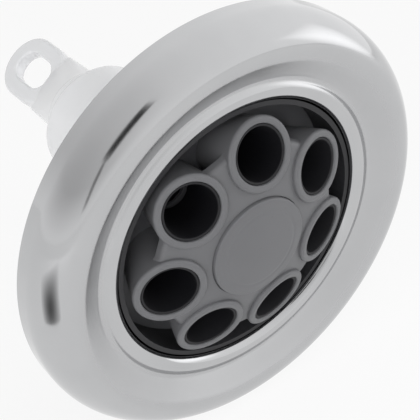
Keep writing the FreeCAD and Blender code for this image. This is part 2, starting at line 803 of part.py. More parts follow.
def tail_nozzle():
    # the loop is drawn with its hole along X, then turned about the jet's axis
    neck = turned([(0, barrel_end_depth), (neck_radius, barrel_end_depth), (neck_radius, neck_end_depth),
                   (0, neck_end_depth)])
    neck = rounded(neck, neck_round, [(neck_radius, neck_end_depth)])
    neck = rounded(neck, neck_edge_round, [(neck_radius, barrel_end_depth)])
    spigot = tube(tail_spigot_radius, 0, inner_end_depth - tail_spigot_reach, barrel_end_depth + bite)
    plate = stadium(loop_radius, loop_wall)
    faces = [face for face in plate.Faces if abs(abs(face.CenterOfMass.x) - loop_wall / 2) < 1e-3]
    plate = plate.makeFillet(loop_edge_round, [edge for face in faces for edge in face.Edges])
    body = neck.fuse([spigot, around(loop_blend(), loop_turn), around(plate, loop_turn)])
    return body.cut(around(stadium(loop_hole_radius, 4 * loop_wall), loop_turn)).removeSplitter()


def build():
    return {
        "escutcheon_skin": escutcheon_skin(),
        "escutcheon_carrier": escutcheon_carrier(),
        "face_plate": face_plate(),
        "outlet_liners": outlet_liners(),
        "centre_cap": centre_cap(),
        "hub_screw": hub_screw(),
        "face_cup": face_cup(),
        "rotor_shaft": rotor_shaft(),
        "bearing_inner_race": bearing_inner_race(),
        "bearing_outer_race": bearing_outer_race(),
        "bearing_balls": bearing_balls(),
        "bearing_cage": bearing_cage(),
        "thrust_washer": thrust_washer(),
        "shaft_clip": shaft_clip(),
        "rotor": rotor(),
        "rotor_housing": rotor_housing(),
        "housing_screws": housing_screws(),
        "valve_sleeve": valve_sleeve(),
        "sleeve_o_ring": sleeve_o_ring(),
        "sleeve_retainer": sleeve_retainer(),
        "wear_ring": wear_ring(),
        "barrel": barrel(),
        "barrel_o_ring_front": barrel_ring(front_ring_depth),
        "barrel_o_ring_rear": barrel_ring(rear_ring_depth),
        "tail_nozzle": tail_nozzle(),
    }


os.makedirs("parts", exist_ok=True)
for node, shape in build().items():
    shape.exportStep("parts/%s.step" % node)
    box = shape.BoundBox
    print("%-20s solids %d valid %s volume %9.1f  X %.1f %.1f  Y %.1f %.1f  Z %.1f %.1f" % (
        node, len(shape.Solids), shape.isValid(), shape.Volume,
        box.XMin, box.XMax, box.YMin, box.YMax, box.ZMin, box.ZMax))
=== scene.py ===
import json
import math

import bmesh
import bpy
import numpy as np
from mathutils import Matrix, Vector


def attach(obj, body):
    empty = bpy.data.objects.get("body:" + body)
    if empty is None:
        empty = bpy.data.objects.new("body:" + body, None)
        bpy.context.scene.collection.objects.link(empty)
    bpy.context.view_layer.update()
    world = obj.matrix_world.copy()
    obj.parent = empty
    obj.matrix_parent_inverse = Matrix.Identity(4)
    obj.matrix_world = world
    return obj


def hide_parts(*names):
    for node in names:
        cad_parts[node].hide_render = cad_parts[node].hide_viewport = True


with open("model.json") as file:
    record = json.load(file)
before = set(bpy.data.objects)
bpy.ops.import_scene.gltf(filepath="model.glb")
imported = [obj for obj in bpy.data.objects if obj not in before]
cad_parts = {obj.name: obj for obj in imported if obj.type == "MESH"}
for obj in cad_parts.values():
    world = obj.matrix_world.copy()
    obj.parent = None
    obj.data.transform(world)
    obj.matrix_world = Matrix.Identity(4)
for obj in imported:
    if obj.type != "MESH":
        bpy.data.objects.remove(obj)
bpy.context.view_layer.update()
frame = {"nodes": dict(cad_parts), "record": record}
nodes = frame["nodes"]
print("frame loaded, nodes:", len(nodes))

mm = 0.001
jetAxis = np.array([0.0, 1.0, 0.0])


# Surfaces: every array below is in millimetres, in the part's own frame
def turnedBy(degrees):
    # unit vector across the jet axis, counted from +X towards +Z
    turn = math.radians(degrees)
    return np.array([math.cos(turn), 0.0, math.sin(turn)])


def arcPoints(centre, radius, first, last, steps):
    # points on a circle: centre + radius * (cos, sin) of an even run of angles
    turns = np.radians(np.linspace(first, last, steps))
    return np.stack([centre[0] + radius * np.cos(turns), centre[1] + radius * np.sin(turns)], 1)


def onCircle(centre, radius, degrees):
    return arcPoints(centre, radius, degrees, degrees, 1)[0]


def roundedProfile(corners, closed=True, steps=7, guard=0.25):
    # polygon whose corners (across, along, fillet radius) become tangent arcs; a guard point on each
    # side of an arc keeps the shading of the flats level
    points = []
    count = len(corners)
    for index, (across, along, fillet) in enumerate(corners):
        here = np.array([across, along], float)
        atEnd = not closed and index in (0, count - 1)
        if atEnd or fillet <= 0:
            points.append(here)
            continue
        before = np.array(corners[index - 1][:2], float) - here
        after = np.array(corners[(index + 1) % count][:2], float) - here
        unitBefore = before / np.linalg.norm(before)
        unitAfter = after / np.linalg.norm(after)
        half = math.acos(np.clip(unitBefore @ unitAfter, -1, 1)) / 2
        reach = fillet / math.tan(half)
        bisector = (unitBefore + unitAfter) / np.linalg.norm(unitBefore + unitAfter)
        centre = here + bisector * fillet / math.sin(half)
        start = here + unitBefore * reach - centre
        end = here + unitAfter * reach - centre
        share = np.linspace(0, 1, steps)[:, None]
        chord = start * (1 - share) + end * share
        bend = centre + chord / np.linalg.norm(chord, axis=1)[:, None] * fillet
        points.append(here + unitBefore * (reach + guard * fillet))
        points.extend(bend)
        points.append(here + unitAfter * (reach + guard * fillet))
    return np.array(points)


def gridQuads(rows, columns, closeRows=False, closeColumns=True):
    # quads of a grid whose points are numbered row by row
    row = np.arange(rows if closeRows else rows - 1)[:, None]
    column = np.arange(columns if closeColumns else columns - 1)
    nextRow = (row + 1) % rows
    nextColumn = (column + 1) % columns
    quads = np.stack([row * columns + column, row * columns + nextColumn,
                      nextRow * columns + nextColumn, nextRow * columns + column], -1)
    return quads.reshape(-1, 4)


def lathe(profile, sides, closed=True, centre=(0, 0, 0), axis=jetAxis):
    # profile of (radius, distance along the axis) carried round the axis:
    # centre + distance * axis + radius * (cos * across + sin * upwards)
    axis = np.array(axis, float) / np.linalg.norm(axis)
    helper = np.array([0.0, 0.0, 1.0]) if abs(axis[2]) < 0.9 else np.array([1.0, 0.0, 0.0])
    across = np.cross(helper, axis)
    across /= np.linalg.norm(across)
    upwards = np.cross(axis, across)
    turns = np.arange(sides) * 2 * np.pi / sides
    spokes = np.cos(turns)[:, None] * across + np.sin(turns)[:, None] * upwards
    radius, along = profile[:, 0, None, None], profile[:, 1, None, None]
    points = np.array(centre, float) + along * axis + radius * spokes
    return points.reshape(-1, 3), gridQuads(len(profile), sides, closeRows=closed)


def sectorBlock(section, middle, sweep, steps):
    # closed section of (radius, depth) carried through part of a turn; each end closes on its own centre
    turns = np.radians(np.linspace(middle - sweep / 2, middle + sweep / 2, steps))
    centre = np.broadcast_to(section.mean(0), section.shape)
    sections = np.concatenate([[centre], np.repeat([section], steps, 0), [centre]])
    turns = np.concatenate([turns[:1], turns, turns[-1:]])
    points = np.stack([sections[..., 0] * np.cos(turns)[:, None], sections[..., 1],
                       sections[..., 0] * np.sin(turns)[:, None]], -1)
    return points.reshape(-1, 3), gridQuads(len(turns), len(section))


def stadiumRing(profile, straight, centre, through, sides):
    # profile of (radius, distance through the plate) carried round a track with two straight runs along
    # the jet axis: centre + distance * through + (radius * cos + half * sign(cos)) * axis
    # + radius * sin * across
    across = np.cross(through, jetAxis)
    turns = (np.arange(sides) + 0.5) * 2 * np.pi / sides
    cosine, sine = np.cos(turns)[:, None], np.sin(turns)[:, None]
    radius, reach = profile[:, 0, None, None], profile[:, 1, None, None]
    points = (np.array(centre, float) + reach * through + radius * sine * across
              + (radius * cosine + straight / 2 * np.sign(cosine)) * jetAxis)
    return points.reshape(-1, 3), gridQuads(len(profile), sides, closeRows=True)


def cordRing(circle, cord, depth, sides=192, steps=24):
    # ring of round cord about the jet axis
    turns = np.arange(steps) * 2 * np.pi / steps
    return lathe(np.stack([circle + cord * np.cos(turns), depth + cord * np.sin(turns)], 1), sides)


def addPiece(name, parts, smoothDegrees=38):
    # one object from closed parts; each part's doubles are merged before its faces are turned outwards
    whole = bmesh.new()
    for points, quads in parts:
        mesh = bpy.data.meshes.new(name)
        mesh.from_pydata((points * mm).tolist(), [], quads.tolist())
        part = bmesh.new()
        part.from_mesh(mesh)
        bmesh.ops.remove_doubles(part, verts=part.verts, dist=2e-7)
        bmesh.ops.recalc_face_normals(part, faces=part.faces)
        part.to_mesh(mesh)
        part.free()
        whole.from_mesh(mesh)
        bpy.data.meshes.remove(mesh)
    mesh = bpy.data.meshes.new(name)
    whole.to_mesh(mesh)
    whole.free()
    mesh.shade_smooth()
    mesh.set_sharp_from_angle(angle=math.radians(smoothDegrees))
    piece = bpy.data.objects.new(name, mesh)
    bpy.context.scene.collection.objects.link(piece)
    return piece


# Materials
class Link:
    # wraps a socket, so that shader maths is written as plain expressions
    def __init__(self, graph, socket):
        self.graph = graph
        self.socket = socket

    def maths(self, operation, first, second=None):
        return self.graph.node("ShaderNodeMath", {"operation": operation}, [first, second])

    def __add__(self, other):
        return self.maths("ADD", self, other)

    def __radd__(self, other):
        return self.maths("ADD", other, self)

    def __sub__(self, other):
        return self.maths("SUBTRACT", self, other)

    def __rsub__(self, other):
        return self.maths("SUBTRACT", other, self)

    def __mul__(self, other):
        return self.maths("MULTIPLY", self, other)

    def __rmul__(self, other):
        return self.maths("MULTIPLY", other, self)

    def __pow__(self, other):
        return self.maths("POWER", self, other)

    def clamped(self, low, high):
        return self.maths("MINIMUM", self.maths("MAXIMUM", self, low), high)


class Graph:
    # the nodes of one material
    def __init__(self, tree):
        self.tree = tree
        self.tree.nodes.clear()

    def node(self, kind, settings=None, inputs=None, output=0):
        made = self.tree.nodes.new(kind)
        for name, value in (settings or {}).items():
            setattr(made, name, value)
        pairs = (inputs or {}).items() if not isinstance(inputs, list) else enumerate(inputs)
        for key, value in pairs:
            if isinstance(value, Link):
                self.tree.links.new(value.socket, made.inputs[key])
            elif value is not None:
                made.inputs[key].default_value = value
        return Link(self, made.outputs[output]) if made.outputs else None

    def place(self):
        return self.node("ShaderNodeTexCoord", output=3)

    def noise(self, vector, scale, detail):
        return self.node("ShaderNodeTexNoise", None,
                         {"Vector": vector, "Scale": scale, "Detail": detail, "Roughness": 0.55})

    def mixed(self, share, first, second):
        return self.node("ShaderNodeMix", {"data_type": "RGBA"}, {0: share, 6: first, 7: second}, output=2)

    def bump(self, height, distance, strength=1.0, under=None):
        inputs = {"Height": height, "Distance": distance, "Strength": strength}
        if under is not None:
            inputs["Normal"] = under
        return self.node("ShaderNodeBump", None, inputs)

    def split(self, vector):
        apart = self.node("ShaderNodeSeparateXYZ", None, [vector])
        outputs = apart.socket.node.outputs
        return [Link(self, outputs[axis]) for axis in range(3)]


def newMaterial(name):
    material = bpy.data.materials.new(name)
    material.use_nodes = True
    return material, Graph(material.node_tree)


def finishMaterial(graph, inputs):
    shader = graph.node("ShaderNodeBsdfPrincipled", None, inputs)
    graph.node("ShaderNodeOutputMaterial", None, {"Surface": shader})


# lengths in the looks are in metres, and noise scales are per metre
steelLook = {
    "low": (0.47, 0.474, 0.482, 1), "high": (0.55, 0.552, 0.56, 1), "clouds": 55.0, "spots": 900.0,
    "roughness": 0.05, "smudgeRough": 0.07, "smudgeFrom": 0.42, "smudgeSharpness": 3.0,
    "lineRough": 0.04, "spotRough": 0.02, "lineScale": 2600.0, "lineDepth": 0.0000022, "lineStrength": 0.7,
    "waveScale": 34.0, "waveDepth": 0.00014, "waveStrength": 0.6,
    "dishRadius": 0.0495, "dishHalf": 0.006, "dishRough": 0.27,
}
turnedLook = {
    "low": (0.42, 0.42, 0.43, 1), "high": (0.6, 0.6, 0.61, 1), "clouds": 160.0,
    "roughness": 0.2, "lineRough": 0.16, "lineScale": 5200.0, "lineDepth": 0.000004, "lineStrength": 0.8,
}
rubberLook = {
    "low": (0.012, 0.012, 0.013, 1), "high": (0.05, 0.05, 0.052, 1), "dust": 480.0, "dustFrom": 0.5,
    "dustSharpness": 4.0, "dustRough": 0.2, "roughness": 0.5,
    "grainScale": 3200.0, "grain": 0.00003, "grainStrength": 0.7,
}
turnShare = 0.7    # how fast the lines of spun metal change round the axis
mouldLook = {
    "fine": 2400.0, "fineRough": 0.08, "cloudRough": 0.10, "specks": 760.0, "speckFrom": 0.69,
    "speckSharpness": 9.0, "speckShare": 0.35, "speckDark": 0.55, "speckDepth": 0.4,
    "coatRough": 0.1, "refraction": 1.48,
}
plasticLooks = {
    "greyPlastic": {"low": (0.112, 0.113, 0.119), "high": (0.14, 0.141, 0.148), "roughness": 0.34,
                    "grain": 0.000012, "coat": 0.0, "clouds": 38.0},
    "darkPlastic": {"low": (0.075, 0.076, 0.082), "high": (0.10, 0.101, 0.108), "roughness": 0.36,
                    "grain": 0.000014, "coat": 0.0, "clouds": 38.0},
    # the cup's rim colour is painted shade: near-black past its radius, for the shadowed gap beside the
    # steel collar
    "cupPlasticWithPaintedShade": {"low": (0.085, 0.086, 0.092), "high": (0.115, 0.116, 0.124), "roughness": 0.4,
                   "grain": 0.000014, "clouds": 38.0, "rim": (0.008, 0.008, 0.01), "rimRadius": 0.0381,
                   "shadeLineSharpness": 4000.0},
    "blackPlastic": {"low": (0.0035, 0.0035, 0.0045), "high": (0.007, 0.007, 0.009), "roughness": 0.52,
                     "grain": 0.000014, "coat": 0.0, "clouds": 60.0},
    "whitePlastic": {"low": (0.70, 0.705, 0.72), "high": (0.78, 0.785, 0.795), "roughness": 0.14,
                     "grain": 0.000005, "coat": 0.6, "clouds": 24.0},
    "acetalPlastic": {"low": (0.008, 0.008, 0.009), "high": (0.015, 0.015, 0.017), "roughness": 0.32,
                      "grain": 0.000008, "coat": 0.0, "clouds": 38.0},
}


def axisRadius(x, z):
    # distance from the jet axis
    return (x * x + z * z) ** 0.5


def spunVector(graph, lines):
    # coordinates that run round the jet axis: radius, depth and a slow share of the angle
    x, y, z = graph.split(graph.place())
    angle = graph.node("ShaderNodeMath", {"operation": "ARCTAN2"}, [z, x])
    return graph.node("ShaderNodeCombineXYZ", None, [axisRadius(x, z) * lines, y * lines, angle * turnShare])


def polishedSteel():
    # spun and buffed: slow waves, fine lines round the axis, smudges and small dull spots
    look = steelLook
    material, graph = newMaterial("polishedSteel")
    place = graph.place()
    clouds = graph.noise(place, look["clouds"], 5.0)
    spots = graph.noise(place, look["spots"], 3.0)
    lines = graph.noise(spunVector(graph, look["lineScale"]), 1.0, 2.0)
    smudges = ((clouds - look["smudgeFrom"]) * look["smudgeSharpness"]).clamped(0.0, 1.0)
    colour = graph.mixed(clouds, look["low"], look["high"])
    # the buffing wheel hardly reaches into the dish, which stays satin
    x, z = graph.split(place)[::2]
    away = (axisRadius(x, z) - look["dishRadius"]) * (1.0 / look["dishHalf"])
    dish = (1.0 - away * away).clamped(0.0, 1.0)
    roughness = smudges * look["smudgeRough"] + lines * look["lineRough"] + spots * look["spotRough"]
    roughness = roughness + look["roughness"] + dish * look["dishRough"]
    waves = graph.bump(graph.noise(place, look["waveScale"], 2.0), look["waveDepth"], look["waveStrength"])
    spun = graph.bump(lines, look["lineDepth"], look["lineStrength"], waves)
    finishMaterial(graph, {"Base Color": colour, "Metallic": 1.0, "Roughness": roughness, "Normal": spun})
    return material


def mouldedPlastic(name):
    # moulded plastic: flow clouds in the colour, a fine tool grain, and a few darker specks
    look = plasticLooks[name]
    material, graph = newMaterial(name)
    place = graph.place()
    clouds = graph.noise(place, look["clouds"], 4.0)
    fine = graph.noise(place, mouldLook["fine"], 3.0)
    specks = graph.noise(place, mouldLook["specks"], 2.0) - mouldLook["speckFrom"]
    specks = (specks * mouldLook["speckSharpness"]).clamped(0.0, 1.0)
    darker = [mouldLook["speckDark"] * part for part in look["low"]]
    colour = graph.mixed(clouds, (*look["low"], 1), (*look["high"], 1))
    colour = graph.mixed(specks * mouldLook["speckShare"], colour, (*darker, 1))
    rough = clouds * mouldLook["cloudRough"] + fine * mouldLook["fineRough"] + look["roughness"]
    bumps = graph.bump(fine + specks * mouldLook["speckDepth"], look["grain"])
    finishMaterial(graph, {"Base Color": colour, "Roughness": rough, "Normal": bumps,
                           "Coat Weight": look["coat"], "Coat Roughness": mouldLook["coatRough"],
                           "IOR": mouldLook["refraction"]})
    return material


def cupPlasticWithPaintedShade():
    # the cup's moulding; past rimRadius its colour goes near-black, a painted shade line standing for the
    # shadowed gap beside the steel collar
    look = plasticLooks["cupPlasticWithPaintedShade"]
    material, graph = newMaterial("cupPlasticWithPaintedShade")
    place = graph.place()
    x, z = graph.split(place)[::2]
    # painted shade: the rim past rimRadius turns near-black, standing in for the shadowed gap beside the
    # collar
    rim = ((axisRadius(x, z) - look["rimRadius"]) * look["shadeLineSharpness"]).clamped(0.0, 1.0)
    clouds = graph.noise(place, look["clouds"], 4.0)
    fine = graph.noise(place, mouldLook["fine"], 3.0)
    colour = graph.mixed(clouds, (*look["low"], 1), (*look["high"], 1))
    colour = graph.mixed(rim, colour, (*look["rim"], 1))
    rough = clouds * mouldLook["cloudRough"] + fine * mouldLook["fineRough"] + look["roughness"]
    bumps = graph.bump(fine, look["grain"])
    finishMaterial(graph, {"Base Color": colour, "Roughness": rough, "Normal": bumps})
    return material


def turnedSteel():
    # turned shafts, races and screws: close lines round the jet axis
    look = turnedLook
    material, graph = newMaterial("turnedSteel")
    lines = graph.noise(spunVector(graph, look["lineScale"]), 1.0, 3.0)
    clouds = graph.noise(graph.place(), look["clouds"], 3.0)
    colour = graph.mixed(clouds, look["low"], look["high"])
    rough = lines * look["lineRough"] + look["roughness"]
    bumps = graph.bump(lines, look["lineDepth"], look["lineStrength"])
    finishMaterial(graph, {"Base Color": colour, "Metallic": 1.0, "Roughness": rough, "Normal": bumps})
    return material


def sealRubber():
    # black rubber with a little pale dust
    look = rubberLook
    material, graph = newMaterial("sealRubber")
    place = graph.place()
    dust = graph.noise(place, look["dust"], 5.0) - look["dustFrom"]
    dust = (dust * look["dustSharpness"]).clamped(0.0, 1.0)
    colour = graph.mixed(dust, look["low"], look["high"])
    rough = dust * look["dustRough"] + look["roughness"]
    bumps = graph.bump(graph.noise(place, look["grainScale"], 3.0), look["grain"], look["grainStrength"])
    finishMaterial(graph, {"Base Color": colour, "Roughness": rough, "Normal": bumps})
    return material


materials = {
    "polished_steel": polishedSteel(),
    "grey_plastic": mouldedPlastic("greyPlastic"),
    "dark_plastic": mouldedPlastic("darkPlastic"),
    "black_plastic": mouldedPlastic("blackPlastic"),
    "white_plastic": mouldedPlastic("whitePlastic"),
    "acetal": mouldedPlastic("acetalPlastic"),
    "stainless": turnedSteel(),
    "rubber": sealRubber(),
}
for row in frame["record"]["subparts"]:
    node = nodes[row["node"]]
    node.data.materials.clear()
    node.data.materials.append(materials[row["material_slot"]])
# the cup's material carries a painted shade line at its rim
nodes["face_cup"].data.materials[0] = cupPlasticWithPaintedShade()
print("materials ready:", len(materials) + 1)


def dress(piece, slot, body, *replaced):
    # gives a piece its material, the body that it rides on and the nodes that it replaces
    piece.data.materials.append(materials[slot])
    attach(piece, body)
    if replaced:
        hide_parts(*replaced)
    print("piece", piece.name, "faces", len(piece.data.polygons))


# Escutcheon skin: tangent arcs carried round the jet axis
skinShape = {
    "radius": 63.5, "shoulderHeight": 4.2, "shoulderRound": 12.1, "shoulderTurn": 50.0, "crownRound": 6.0,
    "grooveTurn": 49.1, "collarRadius": 43.0, "collarHeight": 11.4, "collarRound": 3.0, "grooveRound": 1.6,
    "wall": 0.7, "hemHeight": 3.0, "sides": 320, "wideSteps": 26, "grooveSteps": 14, "collarSteps": 24,
}


def skinChain(inset):
    # skirt, shoulder, crown, dish slope, groove and collar, each tangent to the next, set in by inset;
    # the slope lies on the crown and under the groove
    shape = skinShape
    shoulder = (shape["radius"] - shape["shoulderRound"], shape["shoulderHeight"])
    crown = onCircle(shoulder, shape["shoulderRound"] - shape["crownRound"], shape["shoulderTurn"])
    collar = (shape["collarRadius"], shape["collarHeight"] - shape["collarRound"])
    groove = onCircle(collar, shape["collarRound"] + shape["grooveRound"], shape["grooveTurn"])
    across, rise = groove - crown
    lean = math.acos((shape["crownRound"] + shape["grooveRound"]) / math.hypot(across, rise))
    slopeTurn = math.degrees(math.atan2(rise, across) - lean)
    skirt = np.stack([np.full(4, shape["radius"] - inset), np.linspace(0, shape["shoulderHeight"], 4)], 1)
    return np.concatenate([
        skirt[:-1],
        arcPoints(shoulder, shape["shoulderRound"] - inset, 0.0, shape["shoulderTurn"],
                  shape["wideSteps"])[:-1],
        arcPoints(crown, shape["crownRound"] - inset, shape["shoulderTurn"], slopeTurn,
                  shape["wideSteps"]),
        arcPoints(groove, shape["grooveRound"] + inset, slopeTurn - 180.0,
                  shape["grooveTurn"] - 180.0, shape["grooveSteps"])[:-1],
        arcPoints(collar, shape["collarRound"] - inset, shape["grooveTurn"], 180.0,
                  shape["collarSteps"]),
    ])


def skinPiece():
    shape = skinShape
    outer = skinChain(0.0)
    inner = skinChain(shape["wall"])[::-1]
    lip = shape["collarRadius"] - shape["collarRound"]
    hem = [[lip, shape["hemHeight"]], [lip + shape["wall"], shape["hemHeight"]]]
    profile = np.concatenate([outer, hem, inner])
    profile[:, 1] *= -1
    return addPiece("escutcheonSkin", [lathe(profile, shape["sides"])], smoothDegrees=40)


dress(skinPiece(), "polished_steel", "face", "escutcheon_skin")


# Face plate: seven outlets and the web between them, all drawn out from the dome's centre
plateShape = {
    "domeRadius": 90.0, "outletCircle": 27.1, "outletHeight": 13.4, "outlets": 7, "firstTurn": 33.93,
    "rimRadius": 10.4, "boreRadius": 7.3, "boreEnd": 6.2, "rimProud": 0.8, "rimRound": 0.9, "flare": 0.5,
    "linerWall": 0.75, "linerGap": 0.05, "linerSetBack": 0.5, "linerRound": 0.35,
    "wall": 2.4, "webRadius": 29.5, "recess": 15.2, "recessHeight": 14.6, "hidden": 9.2, "scallop": 1.3,
    "scallopPower": 5, "hubRadius": 8.0, "coreRadius": 17.8, "coreWall": 2.4, "spigotDepth": 3.2,
    "webEdgeRound": 1.1, "floorDepth": 2.0, "webColumns": 41, "webRows": 26, "edgeRows": 6,
    "sides": 192, "outletSides": 112,
}
domeDepth = (math.sqrt(plateShape["domeRadius"] ** 2 - plateShape["outletCircle"] ** 2)
             - plateShape["outletHeight"])
outletLean = math.asin(plateShape["outletCircle"] / plateShape["domeRadius"])
outletNear = (domeDepth - plateShape["spigotDepth"]) / math.cos(outletLean)
outletTurns = [plateShape["firstTurn"] + 360.0 * step / plateShape["outlets"]
               for step in range(plateShape["outlets"])]


def onDome(radius, drop):
    # depth along the jet axis of the dome's surface at a radius, drop millimetres below it
    return domeDepth - np.sqrt((plateShape["domeRadius"] - drop) ** 2 - radius ** 2)


def boreRadius(distance):
    # the water way's radius at a distance from the dome's centre
    shape = plateShape
    slope = (shape["boreRadius"] - shape["boreEnd"]) / (shape["domeRadius"] - outletNear)
    return shape["boreRadius"] + slope * (distance - shape["domeRadius"])


def aboutOutlet(profile, turn):
    # profile of (radius, distance from the dome's centre) carried round an outlet's axis
    direction = turnedBy(turn) * math.sin(outletLean) - jetAxis * math.cos(outletLean)
    return lathe(profile, plateShape["outletSides"], centre=domeDepth * jetAxis, axis=direction)


def outletPart(turn):
    # outer taper, rounded rim, small flare and the seat of the liner
    shape = plateShape
    far = shape["domeRadius"] + shape["rimProud"]
    seat = shape["linerWall"] + shape["linerGap"]
    lip = boreRadius(far) + seat + shape["flare"]
    rim = roundedProfile([
        (shape["rimRadius"] * outletNear / shape["domeRadius"], outletNear, 0),
        (shape["rimRadius"], far, shape["rimRound"]), (lip, far, 0),
    ], closed=False)
    flare = arcPoints((lip, far - shape["flare"]), shape["flare"], 90.0, 180.0, 7)
    bore = np.array([[boreRadius(outletNear) + seat, outletNear]])
    return aboutOutlet(np.concatenate([rim, flare[1:], bore]), turn)


def linerPart(turn):
    # a thin tapered tube with a rounded mouth
    shape = plateShape
    far = shape["domeRadius"] + shape["rimProud"] - shape["linerSetBack"]
    profile = roundedProfile([
        (boreRadius(outletNear), outletNear, 0.1),
        (boreRadius(outletNear) + shape["linerWall"], outletNear, 0.1),
        (boreRadius(far) + shape["linerWall"], far, 0.2), (boreRadius(far), far, shape["linerRound"]),
    ])
    return aboutOutlet(profile, turn)


def webPart(turn):
    # the web between two outlets: radius and the angle between the two tubes are its parameters,
    # carried over the front, round the scalloped edge and back under it
    shape = plateShape
    circle, hidden = shape["outletCircle"], shape["hidden"]
    inner = circle - hidden
    small = shape["webEdgeRound"]
    across = np.linspace(0, 1, shape["webColumns"])
    edge = shape["webRadius"] + shape["scallop"] * np.abs(2 * across - 1) ** shape["scallopPower"]
    bend = np.linspace(0, math.pi / 2, shape["edgeRows"])
    rise = np.linspace(0, 1, shape["webRows"]) ** 2
    flat = np.zeros(shape["webRows"])
    # each row: share of the way out, share of the edge's round, and drop below the dome
    front = np.stack([rise, flat, flat], 1)
    corner = np.stack([np.ones(shape["edgeRows"]), np.sin(bend), small * (1 - np.cos(bend))], 1)
    front = np.concatenate([front, corner[1:]])
    under = front[::-1].copy()
    under[:, 2] = shape["wall"]
    rows = np.concatenate([front, under])
    radius = inner + rows[:, :1] * (edge - inner - small) + rows[:, 1:2] * small
    cosine = (radius ** 2 + circle ** 2 - hidden ** 2) / (2 * radius * circle)
    clear = np.arccos(np.clip(cosine, -1, 1))
    angle = math.radians(turn) + clear + across * (2 * math.pi / shape["outlets"] - 2 * clear)
    points = np.stack([radius * np.cos(angle), onDome(radius, rows[:, 2:]), radius * np.sin(angle)], -1)
    # each side closes midway between its two faces, inside a tube's wall
    middle = (points + points[::-1]) / 2
    points = np.concatenate([middle[:, :1], points, middle[:, -1:]], 1)
    return points.reshape(-1, 3), gridQuads(len(rows), points.shape[1], closeRows=True, closeColumns=False)


def hubPart():
    # the ring round the cap's recess, the recess floor and the hub behind it
    shape = plateShape
    outer = shape["outletCircle"] - shape["hidden"]
    radii = np.linspace(shape["recess"], outer, 7)
    front = np.stack([radii, onDome(radii, 0.0)], 1)
    back = np.array([
        [outer, onDome(outer, shape["wall"])],
        [shape["coreRadius"], shape["coreWall"] - shape["recessHeight"]],
        [shape["hubRadius"], 2 * shape["coreWall"] - shape["recessHeight"]],
        [shape["hubRadius"], shape["floorDepth"]],
        [0.0, shape["floorDepth"]],
    ])
    seat = np.array([[0.0, -shape["recessHeight"]], [shape["recess"], -shape["recessHeight"]]])
    return lathe(np.concatenate([seat, front, back]), shape["sides"], closed=False)


plateParts = [hubPart()]
plateParts += [outletPart(turn) for turn in outletTurns]
plateParts += [webPart(turn) for turn in outletTurns]
dress(addPiece("facePlate", plateParts), "grey_plastic", "face", "face_plate")
liners = addPiece("outletLiners", [linerPart(turn) for turn in outletTurns])
dress(liners, "black_plastic", "face", "outlet_liners")


# Centre cap: a shallow dome with a rounded edge over its snap skirt
capShape = {"radius": 15.0, "rise": 1.1, "edgeRound": 0.6, "edgeDrop": 0.02, "wall": 1.8, "skirt": 12.4,
            "skirtWall": 1.3, "ringRadius": 11.6, "ringDepth": 0.12, "ringWidth": 0.35, "sides": 160}


def capPiece():
    shape = capShape
    edgeDepth = onDome(shape["radius"], 0.0) - shape["rise"]
    radii = np.linspace(0, shape["radius"] - shape["edgeRound"] * 1.2, 40)
    dent = shape["ringDepth"] * np.exp(-((radii - shape["ringRadius"]) / shape["ringWidth"]) ** 2)
    crown = np.stack([radii, onDome(radii, 0.0) - shape["rise"] + dent], 1)
    side = roundedProfile([
        (crown[-1, 0], crown[-1, 1], 0),
        (shape["radius"], edgeDepth + shape["edgeDrop"], shape["edgeRound"]),
        (shape["radius"], edgeDepth + shape["wall"], 0.2), (shape["skirt"], edgeDepth + shape["wall"], 0),
        (shape["skirt"], -plateShape["recessHeight"], 0),
        (shape["skirt"] - shape["skirtWall"], -plateShape["recessHeight"], 0),
        (shape["skirt"] - shape["skirtWall"], edgeDepth + shape["wall"], 0),
        (0.0, edgeDepth + shape["wall"], 0),
    ], closed=False)
    profile = np.concatenate([crown[:-1], side])
    return addPiece("centreCap", [lathe(profile, shape["sides"], closed=False)])


dress(capPiece(), "grey_plastic", "face", "centre_cap")
print("face finished")


# Bell behind the rotor
bellShape = {"radius": 35.2, "wall": 1.7, "flange": 46.4, "flangeWall": 2.2, "front": 4.4, "straight": 15.6,
             "neck": 20.0, "neckEnd": 23.4, "neckInner": 16.95, "neckWall": 2.0, "sides": 224}


def bellPiece():
    shape = bellShape
    outer, neckOuter = shape["radius"] + shape["wall"], shape["neckInner"] + shape["neckWall"]
    back = shape["front"] + shape["flangeWall"]
    profile = roundedProfile([
        (shape["radius"], shape["front"], 0.2), (shape["flange"], shape["front"], 0.3),
        (shape["flange"], back, 0.6), (outer, back, 0.8), (outer, shape["straight"], 1.8),
        (neckOuter, shape["neck"], 1.2), (neckOuter, shape["neckEnd"], 0.3),
        (shape["neckInner"], shape["neckEnd"], 0.2),
        (shape["neckInner"], shape["neck"] - shape["wall"], 0.6),
        (shape["radius"], shape["straight"] - shape["wall"], 1.0),
    ])
    return addPiece("bellHousing", [lathe(profile, shape["sides"])])


dress(bellPiece(), "dark_plastic", "face", "rotor_housing")


# Barrel: a seal land with two grooves, the posts between the windows, and the guide land behind them
barrelShape = {
    "radius": 19.0, "waist": 18.6, "bore": 17.2, "start": 24.4, "end": 64.5, "endWall": 2.2, "land": 21.2,
    "landLength": 8.6, "landTaper": 1.4, "grooves": (27.2, 30.6), "grooveHalf": 1.45, "cord": 1.3,
    "squeeze": 0.25, "float": 0.05, "endHole": 8.05, "windowStart": 35.2, "windowEnd": 44.8, "guide": 46.0,
    "windowSweep": 58.0, "windows": 3, "windowTurn": 71.0, "lugHeight": 1.5, "lugSweep": 16.0,
    "lugLength": 3.2, "endRound": 1.8, "bite": 0.3, "sides": 192, "postSteps": 34, "lugSteps": 12,
}
ringCircle = barrelShape["land"] - barrelShape["cord"] + 2 * barrelShape["squeeze"]


